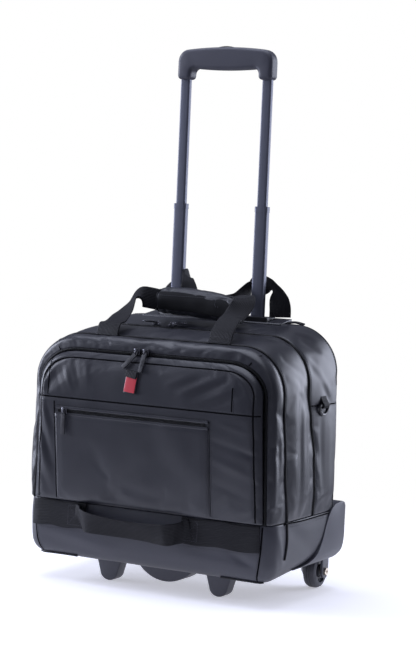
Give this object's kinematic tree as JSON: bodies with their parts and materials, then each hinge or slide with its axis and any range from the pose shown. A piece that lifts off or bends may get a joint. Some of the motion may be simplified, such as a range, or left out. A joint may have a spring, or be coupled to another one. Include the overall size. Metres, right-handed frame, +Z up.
{
  "type": "two-wheel trolley pilot case",
  "caption": "Soft-sided pilot case on two wheels with a telescopic trolley handle, opening front half, front pocket, wrapped carry handle and lifting loop.",
  "frame": {"origin": "floor level, at the centre of the case's box in plan", "axes": "+X to the right seen from the front, +Y to the back where the trolley and wheels are, +Z up along the trolley tubes"},
  "size_m": [0.4532, 0.288, 0.8656],
  "materials": {
    "coated_fabric": "satin coated weave",
    "tough_fabric": "heavy coated fabric",
    "lining": "matt woven lining",
    "board": "matt sheet",
    "webbing": "woven webbing",
    "wrap_cloth": "satin woven",
    "flap_cloth": "brushed",
    "label_cloth": "smooth rubberised",
    "piping_cord": "satin",
    "zip_coil": "satin",
    "slider_metal": "gloss",
    "pull_rubber": "matt",
    "hard_plastic": "fine grained",
    "black_plastic": "satin",
    "grip_plastic": "soft touch",
    "hub_plastic": "satin",
    "tyre": "matt",
    "tube_metal": "anodised",
    "ring_metal": "satin",
    "bolt_metal": "bronze plated",
    "steel": "zinc plated"
  },
  "bodies": {
    "case": {"main_gusset": "coated_fabric", "back_panel": "coated_fabric", "base_tub": "tough_fabric", "back_board": "board", "base_board": "board", "tube_cover": "lining", "wheel_housing_left": "hard_plastic", "wheel_housing_right": "hard_plastic", "axle_bolts": "bolt_metal", "axle_nuts": "steel", "front_feet": "hard_plastic", "bottom_grip": "hard_plastic", "outer_tube_left": "tube_metal", "outer_tube_right": "tube_metal", "tube_bracket": "hard_plastic", "trolley_bezel": "black_plastic", "top_rim": "coated_fabric", "rear_straps": "webbing", "webbing_band": "webbing", "grab_loop": "webbing", "ring_tabs": "webbing", "main_zip": "zip_coil", "housing_screws": "steel"},
    "front_half": {"middle_gusset": "coated_fabric", "front_gusset": "coated_fabric", "divider_panel": "lining", "piping": "piping_cord", "front_zip": "zip_coil", "front_straps": "webbing", "handle_wrap": "wrap_cloth"},
    "wrap_flap": {"wrap_flap": "flap_cloth"},
    "front_panel": {"front_panel": "coated_fabric", "flat_pocket": "coated_fabric", "pocket_zip": "zip_coil", "label": "label_cloth"},
    "main_slider_left": {"main_slider_left": "slider_metal"},
    "main_slider_right": {"main_slider_right": "slider_metal"},
    "main_pull_left": {"main_pull_left": "slider_metal"},
    "main_pull_right": {"main_pull_right": "slider_metal"},
    "front_slider_left": {"front_slider_left": "slider_metal"},
    "front_slider_right": {"front_slider_right": "slider_metal"},
    "front_pull_left": {"front_pull_left": "pull_rubber"},
    "front_pull_right": {"front_pull_right": "pull_rubber"},
    "pocket_slider": {"pocket_slider": "slider_metal"},
    "pocket_pull": {"pocket_pull": "pull_rubber"},
    "d_ring_left": {"d_ring_left": "ring_metal"},
    "d_ring_right": {"d_ring_right": "ring_metal"},
    "wheel_left": {"wheel_hub_left": "hub_plastic", "tyre_left": "tyre", "bearings_left": "steel"},
    "wheel_right": {"wheel_hub_right": "hub_plastic", "tyre_right": "tyre", "bearings_right": "steel"},
    "stage_1": {"lower_tubes": "tube_metal", "tube_collars": "black_plastic"},
    "stage_2": {"upper_tubes": "tube_metal", "grip_shell": "grip_plastic"},
    "push_button": {"push_button": "black_plastic", "release_rods": "steel", "button_spring": "steel"}
  },
  "joints": [
    {"name": "front_half_hinge", "type": "hinge", "parent": "case", "child": "front_half", "pos_m": [0, -0.124, 0.132], "axis": [1, 0, 0], "range_deg": [0, 25]},
    {"name": "front_panel_hinge", "type": "hinge", "parent": "front_half", "child": "front_panel", "pos_m": [0, -0.1255, 0.133], "axis": [1, 0, 0], "range_deg": [0, 70]},
    {"name": "wrap_flap_hinge", "type": "hinge", "parent": "front_half", "child": "wrap_flap", "pos_m": [0, 0.0087, 0.465], "axis": [-1, 0, 0], "range_deg": [0, 110]},
    {"name": "lower_stage_slide", "type": "slide", "parent": "case", "child": "stage_1", "axis": [0, 0, 1], "range_m": [-0.165, 0], "deforming": ["rear_straps"]},
    {"name": "upper_stage_slide", "type": "slide", "parent": "stage_1", "child": "stage_2", "axis": [0, 0, 1], "range_m": [-0.2, 0]},
    {"name": "button_press", "type": "slide", "parent": "stage_2", "child": "push_button", "axis": [0, 0, -1], "range_m": [0, 0.004], "stiffness_N_per_m": 1500, "springref_m": -0.003, "deforming": ["button_spring"]},
    {"name": "wheel_spin_left", "type": "hinge", "parent": "case", "child": "wheel_left", "pos_m": [-0.184, 0.116, 0.028], "axis": [1, 0, 0], "continuous": true},
    {"name": "wheel_spin_right", "type": "hinge", "parent": "case", "child": "wheel_right", "pos_m": [0.184, 0.116, 0.028], "axis": [1, 0, 0], "continuous": true},
    {"name": "main_slider_left_slide", "type": "slide", "parent": "case", "child": "main_slider_left", "axis": [1, 0, 0], "range_m": [-0.07, 0]},
    {"name": "main_slider_right_slide", "type": "slide", "parent": "case", "child": "main_slider_right", "axis": [1, 0, 0], "range_m": [0, 0.17]},
    {"name": "main_pull_left_hinge", "type": "hinge", "parent": "main_slider_left", "child": "main_pull_left", "pos_m": [-0.07, 0.01128, 0.41607], "axis": [0, 0.9893, 0.1461], "range_deg": [0, 35]},
    {"name": "main_pull_right_hinge", "type": "hinge", "parent": "main_slider_right", "child": "main_pull_right", "pos_m": [-0.04, 0.01128, 0.41607], "axis": [0, -0.9893, -0.1461], "range_deg": [0, 35]},
    {"name": "front_slider_left_slide", "type": "slide", "parent": "front_panel", "child": "front_slider_left", "axis": [1, 0, 0], "range_m": [-0.13, 0]},
    {"name": "front_slider_right_slide", "type": "slide", "parent": "front_panel", "child": "front_slider_right", "axis": [1, 0, 0], "range_m": [0, 0.155]},
    {"name": "front_pull_left_hinge", "type": "hinge", "parent": "front_slider_left", "child": "front_pull_left", "pos_m": [-0.025, -0.1244, 0.377], "axis": [-1, 0, 0], "range_deg": [0, 80]},
    {"name": "front_pull_right_hinge", "type": "hinge", "parent": "front_slider_right", "child": "front_pull_right", "pos_m": [-0.009, -0.1244, 0.377], "axis": [-1, 0, 0], "range_deg": [0, 80]},
    {"name": "pocket_slider_slide", "type": "slide", "parent": "front_panel", "child": "pocket_slider", "axis": [1, 0, 0], "range_m": [0, 0.24]},
    {"name": "pocket_pull_hinge", "type": "hinge", "parent": "pocket_slider", "child": "pocket_pull", "pos_m": [-0.143, -0.14204, 0.276], "axis": [-1, 0, 0], "range_deg": [0, 110]},
    {"name": "d_ring_left_swing", "type": "hinge", "parent": "case", "child": "d_ring_left", "pos_m": [-0.222, 0.04, 0.304], "axis": [0, 1, 0], "range_deg": [0, 110]},
    {"name": "d_ring_right_swing", "type": "hinge", "parent": "case", "child": "d_ring_right", "pos_m": [0.222, 0.04, 0.304], "axis": [0, -1, 0], "range_deg": [0, 110]}
  ]
}
